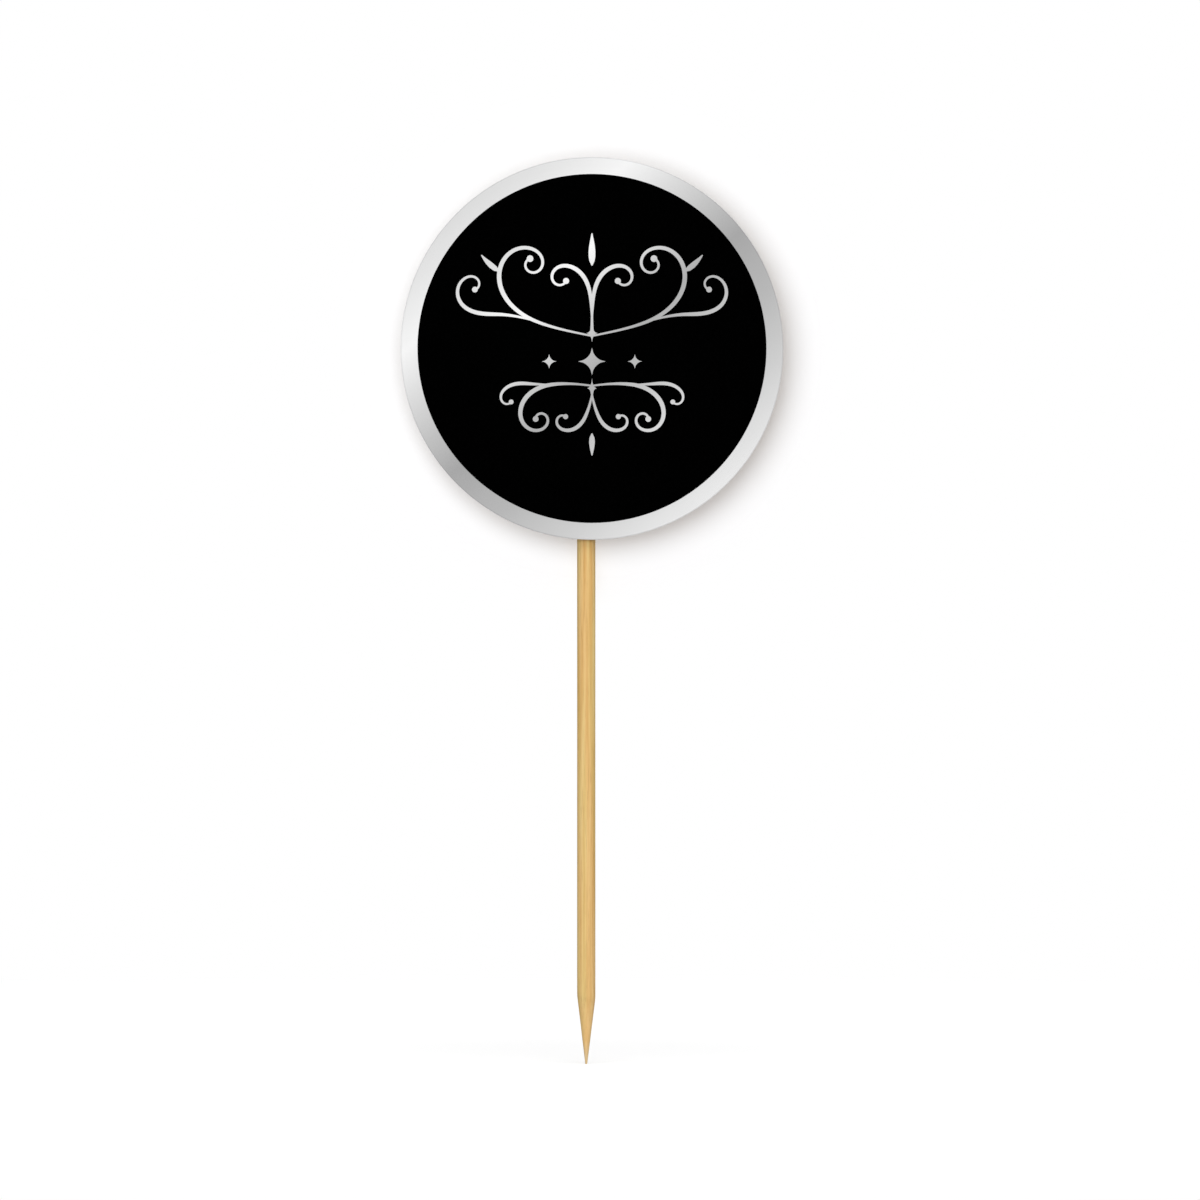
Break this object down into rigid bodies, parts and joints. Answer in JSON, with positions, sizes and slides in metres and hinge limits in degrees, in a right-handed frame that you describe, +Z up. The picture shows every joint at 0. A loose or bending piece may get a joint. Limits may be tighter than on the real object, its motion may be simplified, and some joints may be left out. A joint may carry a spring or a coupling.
{
  "type": "cupcake topper",
  "caption": "Round black card badge with a silver rim and foil scroll ornament, two-sided, on a pointed bamboo stick that pushes into a cake.",
  "frame": {"origin": "the stick's point, on the stick's axis", "axes": "+Z up along the stick, -Y the way the printed face looks, +X to the right as it is seen from the front"},
  "size_m": [0.0501, 0.0042, 0.1186],
  "materials": {
    "bamboo": "satin",
    "card_core": "matte",
    "silver_film": "polished",
    "black_card": "matte",
    "foam": "matte",
    "hot_glue": "satin",
    "silver_foil": "polished"
  },
  "bodies": {
    "root": {"pick_stick": "bamboo", "front_board": "card_core", "front_silver_film": "silver_film", "black_disc": "black_card", "back_board": "card_core", "back_silver_film": "silver_film", "foam_pad_upper_left": "foam", "foam_pad_upper_right": "foam", "foam_pad_lower_left": "foam", "foam_pad_lower_right": "foam", "foam_pad_top": "foam", "glue_bead_left": "hot_glue", "glue_bead_right": "hot_glue", "foil_upper_scroll": "silver_foil", "foil_upper_finial": "silver_foil", "foil_lower_scroll": "silver_foil", "foil_lower_finial": "silver_foil", "foil_star_center": "silver_foil", "foil_star_left": "silver_foil", "foil_star_right": "silver_foil"}
  },
  "joints": []
}
